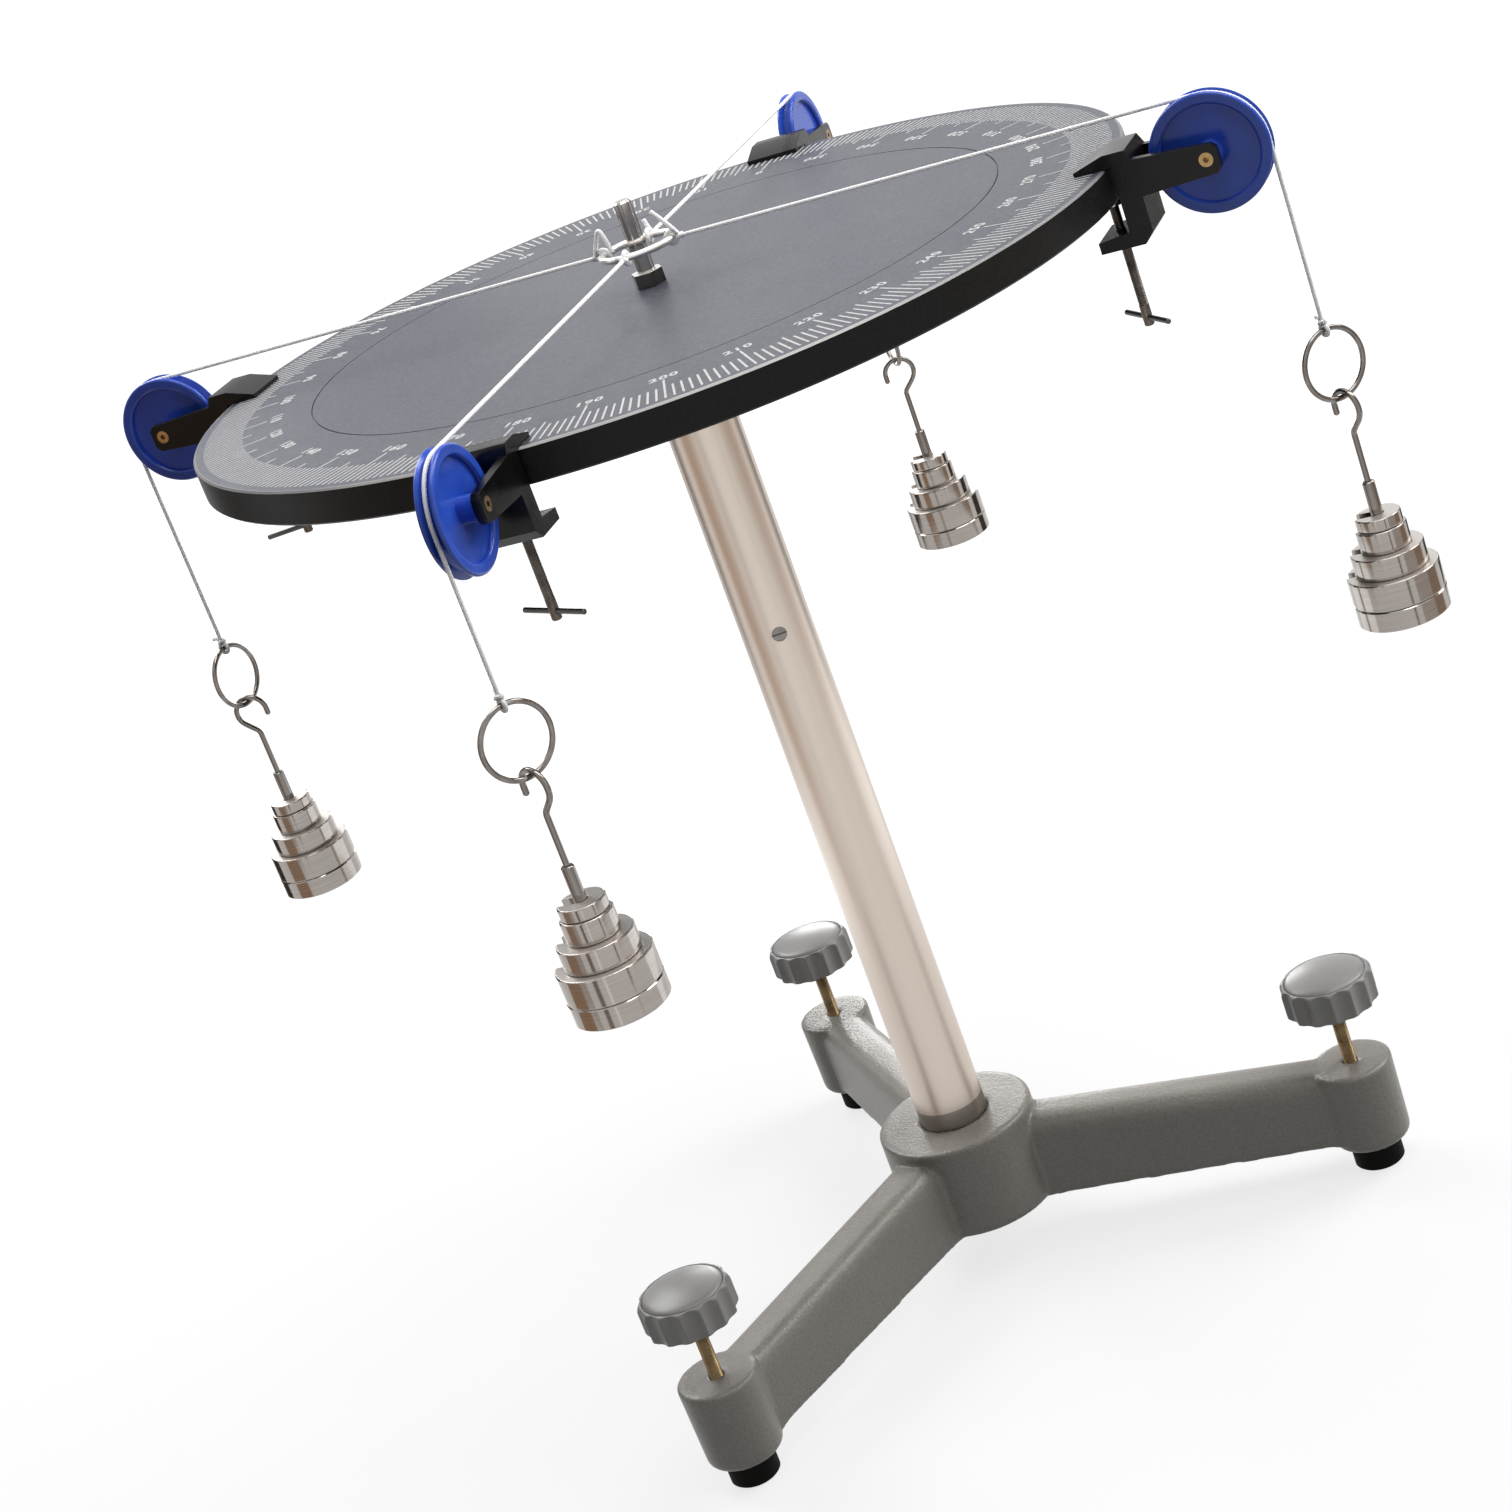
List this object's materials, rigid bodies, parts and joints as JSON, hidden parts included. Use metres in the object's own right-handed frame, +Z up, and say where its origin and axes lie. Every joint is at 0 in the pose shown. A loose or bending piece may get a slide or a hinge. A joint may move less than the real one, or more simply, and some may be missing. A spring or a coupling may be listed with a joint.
{
  "type": "force table",
  "caption": "Round degree-scaled table on a column and levelling tripod, with rim pulleys that carry cords from a centre ring to hook hangers with slotted weights.",
  "frame": {"origin": "on the floor under the column's axis, at the middle of the three feet", "axes": "+Z up along the column, +Y towards the scale's zero, the scale's numbers rising from +Y towards -X"},
  "size_m": [0.5538, 0.554, 0.501],
  "materials": {
    "cast_grey": "grey painted casting, slightly grained",
    "column_bright": "polished tube",
    "steel": "bright steel",
    "dark_steel": "darkened steel",
    "table_dark": "satin dark anodised with a white scale",
    "alloy": "turned alloy",
    "rubber_black": "moulded rubber",
    "brass": "plain brass",
    "knob_grey": "moulded grey",
    "clamp_black": "satin black paint",
    "wheel_blue": "glossy moulded blue",
    "cord_white": "twisted white cord",
    "weight_bright": "bright plated steel"
  },
  "bodies": {
    "stand": {"base_casting": "cast_grey", "column_tube": "column_bright", "column_plug": "steel", "base_bolt": "steel", "table_socket": "alloy", "column_screw": "dark_steel", "socket_screws": "steel", "table_top": "table_dark", "centre_post": "steel", "post_nut": "dark_steel"},
    "centre_ring": {"string_ring": "steel"},
    "foot_1": {"level_foot_1": "rubber_black"},
    "leveller_1": {"level_screw_1": "brass", "level_knob_1": "knob_grey"},
    "foot_2": {"level_foot_2": "rubber_black"},
    "leveller_2": {"level_screw_2": "brass", "level_knob_2": "knob_grey"},
    "foot_3": {"level_foot_3": "rubber_black"},
    "leveller_3": {"level_screw_3": "brass", "level_knob_3": "knob_grey"},
    "clamp_1": {"pulley_clamp_1": "clamp_black", "wheel_axle_1": "brass", "string_1": "cord_white"},
    "wheel_1": {"pulley_wheel_1": "wheel_blue"},
    "pad_1": {"clamp_pad_1": "steel"},
    "screw_1": {"clamp_screw_1": "steel", "tommy_bar_1": "dark_steel"},
    "loop_1": {"weight_ring_1": "steel"},
    "hanger_1": {"weight_hanger_1": "weight_bright"},
    "discs_1": {"slotted_weights_1": "weight_bright"},
    "clamp_2": {"pulley_clamp_2": "clamp_black", "wheel_axle_2": "brass", "string_2": "cord_white"},
    "wheel_2": {"pulley_wheel_2": "wheel_blue"},
    "pad_2": {"clamp_pad_2": "steel"},
    "screw_2": {"clamp_screw_2": "steel", "tommy_bar_2": "dark_steel"},
    "loop_2": {"weight_ring_2": "steel"},
    "hanger_2": {"weight_hanger_2": "weight_bright"},
    "discs_2": {"slotted_weights_2": "weight_bright"},
    "clamp_3": {"pulley_clamp_3": "clamp_black", "wheel_axle_3": "brass", "string_3": "cord_white"},
    "wheel_3": {"pulley_wheel_3": "wheel_blue"},
    "pad_3": {"clamp_pad_3": "steel"},
    "screw_3": {"clamp_screw_3": "steel", "tommy_bar_3": "dark_steel"},
    "loop_3": {"weight_ring_3": "steel"},
    "hanger_3": {"weight_hanger_3": "weight_bright"},
    "discs_3": {"slotted_weights_3": "weight_bright"},
    "clamp_4": {"pulley_clamp_4": "clamp_black", "wheel_axle_4": "brass", "string_4": "cord_white"},
    "wheel_4": {"pulley_wheel_4": "wheel_blue"},
    "pad_4": {"clamp_pad_4": "steel"},
    "screw_4": {"clamp_screw_4": "steel", "tommy_bar_4": "dark_steel"},
    "loop_4": {"weight_ring_4": "steel"},
    "hanger_4": {"weight_hanger_4": "weight_bright"},
    "discs_4": {"slotted_weights_4": "weight_bright"}
  },
  "joints": [
    {"name": "centre_ring_turn", "type": "hinge", "parent": "stand", "child": "centre_ring", "pos_m": [0, 0, 0.4812], "axis": [0, 0, 1], "continuous": true},
    {"name": "foot_1_extend", "type": "slide", "parent": "stand", "child": "foot_1", "axis": [0, 0, -1], "range_m": [0, 0.025]},
    {"name": "leveller_1_turn", "type": "hinge", "parent": "foot_1", "child": "leveller_1", "pos_m": [0.17668, 0.01701, 0.06], "axis": [0, 0, -1], "range_deg": [0, 9000]},
    {"name": "foot_2_extend", "type": "slide", "parent": "stand", "child": "foot_2", "axis": [0, 0, -1], "range_m": [0, 0.025]},
    {"name": "leveller_2_turn", "type": "hinge", "parent": "foot_2", "child": "leveller_2", "pos_m": [-0.10307, 0.14451, 0.06], "axis": [0, 0, -1], "range_deg": [0, 9000]},
    {"name": "foot_3_extend", "type": "slide", "parent": "stand", "child": "foot_3", "axis": [0, 0, -1], "range_m": [0, 0.025]},
    {"name": "leveller_3_turn", "type": "hinge", "parent": "foot_3", "child": "leveller_3", "pos_m": [-0.07361, -0.16152, 0.06], "axis": [0, 0, -1], "range_deg": [0, 9000]},
    {"name": "clamp_1_place", "type": "hinge", "parent": "stand", "child": "clamp_1", "pos_m": [0, 0, 0.465], "axis": [0, 0, 1], "range_deg": [-35, 35]},
    {"name": "wheel_1_spin", "type": "hinge", "parent": "clamp_1", "child": "wheel_1", "pos_m": [0, 0.2363, 0.459], "axis": [-1, 0, 0], "continuous": true},
    {"name": "pad_1_travel", "type": "slide", "parent": "clamp_1", "child": "pad_1", "axis": [0, 0, -1], "range_m": [0, 0.0084]},
    {"name": "screw_1_turn", "type": "hinge", "parent": "pad_1", "child": "screw_1", "pos_m": [0, 0.1938, 0.42], "axis": [0, 0, -1], "range_deg": [0, 4320]},
    {"name": "loop_1_swing", "type": "hinge", "parent": "clamp_1", "child": "loop_1", "pos_m": [0, 0.2585, 0.3654], "axis": [0.5, -0.866, 0], "range_deg": [-30, 30]},
    {"name": "hanger_1_swing", "type": "hinge", "parent": "loop_1", "child": "hanger_1", "pos_m": [0, 0.2585, 0.3376], "axis": [0.5, -0.866, 0], "range_deg": [-30, 30]},
    {"name": "discs_1_lift", "type": "slide", "parent": "hanger_1", "child": "discs_1", "axis": [0, 0, 1], "range_m": [0, 0.0125]},
    {"name": "clamp_2_place", "type": "hinge", "parent": "stand", "child": "clamp_2", "pos_m": [0, 0, 0.465], "axis": [0, 0, 1], "range_deg": [-35, 35]},
    {"name": "wheel_2_spin", "type": "hinge", "parent": "clamp_2", "child": "wheel_2", "pos_m": [-0.23626, 0.00412, 0.459], "axis": [-0.0175, -0.9998, 0], "continuous": true},
    {"name": "pad_2_travel", "type": "slide", "parent": "clamp_2", "child": "pad_2", "axis": [0, 0, -1], "range_m": [0, 0.0084]},
    {"name": "screw_2_turn", "type": "hinge", "parent": "pad_2", "child": "screw_2", "pos_m": [-0.19377, 0.00338, 0.42], "axis": [0, 0, -1], "range_deg": [0, 4320]},
    {"name": "loop_2_swing", "type": "hinge", "parent": "clamp_2", "child": "loop_2", "pos_m": [-0.25846, 0.00451, 0.3559], "axis": [0.2079, 0.9781, 0], "range_deg": [-30, 30]},
    {"name": "hanger_2_swing", "type": "hinge", "parent": "loop_2", "child": "hanger_2", "pos_m": [-0.25846, 0.00451, 0.3281], "axis": [0.2079, 0.9781, 0], "range_deg": [-30, 30]},
    {"name": "discs_2_lift", "type": "slide", "parent": "hanger_2", "child": "discs_2", "axis": [0, 0, 1], "range_m": [0, 0.0125]},
    {"name": "clamp_3_place", "type": "hinge", "parent": "stand", "child": "clamp_3", "pos_m": [0, 0, 0.465], "axis": [0, 0, 1], "range_deg": [-35, 35]},
    {"name": "wheel_3_spin", "type": "hinge", "parent": "clamp_3", "child": "wheel_3", "pos_m": [0.00206, -0.23629, 0.459], "axis": [1, 0.0087, 0], "continuous": true},
    {"name": "pad_3_travel", "type": "slide", "parent": "clamp_3", "child": "pad_3", "axis": [0, 0, -1], "range_m": [0, 0.0084]},
    {"name": "screw_3_turn", "type": "hinge", "parent": "pad_3", "child": "screw_3", "pos_m": [0.00169, -0.19379, 0.42], "axis": [0, 0, -1], "range_deg": [0, 4320]},
    {"name": "loop_3_swing", "type": "hinge", "parent": "clamp_3", "child": "loop_3", "pos_m": [0.00226, -0.25849, 0.3949], "axis": [0.6428, 0.766, 0], "range_deg": [-30, 30]},
    {"name": "hanger_3_swing", "type": "hinge", "parent": "loop_3", "child": "hanger_3", "pos_m": [0.00226, -0.25849, 0.3671], "axis": [0.6428, 0.766, 0], "range_deg": [-30, 30]},
    {"name": "discs_3_lift", "type": "slide", "parent": "hanger_3", "child": "discs_3", "axis": [0, 0, 1], "range_m": [0, 0.0125]},
    {"name": "clamp_4_place", "type": "hinge", "parent": "stand", "child": "clamp_4", "pos_m": [0, 0, 0.465], "axis": [0, 0, 1], "range_deg": [-35, 35]},
    {"name": "wheel_4_spin", "type": "hinge", "parent": "clamp_4", "child": "wheel_4", "pos_m": [0.23616, -0.00825, 0.459], "axis": [0.0349, 0.9994, 0], "continuous": true},
    {"name": "pad_4_travel", "type": "slide", "parent": "clamp_4", "child": "pad_4", "axis": [0, 0, -1], "range_m": [0, 0.0084]},
    {"name": "screw_4_turn", "type": "hinge", "parent": "pad_4", "child": "screw_4", "pos_m": [0.19368, -0.00676, 0.42], "axis": [0, 0, -1], "range_deg": [0, 4320]},
    {"name": "loop_4_swing", "type": "hinge", "parent": "clamp_4", "child": "loop_4", "pos_m": [0.25834, -0.00902, 0.3809], "axis": [0.6947, 0.7193, 0], "range_deg": [-30, 30]},
    {"name": "hanger_4_swing", "type": "hinge", "parent": "loop_4", "child": "hanger_4", "pos_m": [0.25834, -0.00902, 0.3531], "axis": [0.6947, 0.7193, 0], "range_deg": [-30, 30]},
    {"name": "discs_4_lift", "type": "slide", "parent": "hanger_4", "child": "discs_4", "axis": [0, 0, 1], "range_m": [0, 0.0125]}
  ],
  "couplings": [
    {"joint": "leveller_1_turn", "follows": "foot_1_extend", "rad_per_m": 6283.2},
    {"joint": "leveller_2_turn", "follows": "foot_2_extend", "rad_per_m": 6283.2},
    {"joint": "leveller_3_turn", "follows": "foot_3_extend", "rad_per_m": 6283.2},
    {"joint": "screw_1_turn", "follows": "pad_1_travel", "rad_per_m": 8976},
    {"joint": "screw_2_turn", "follows": "pad_2_travel", "rad_per_m": 8976},
    {"joint": "screw_3_turn", "follows": "pad_3_travel", "rad_per_m": 8976},
    {"joint": "screw_4_turn", "follows": "pad_4_travel", "rad_per_m": 8976}
  ]
}
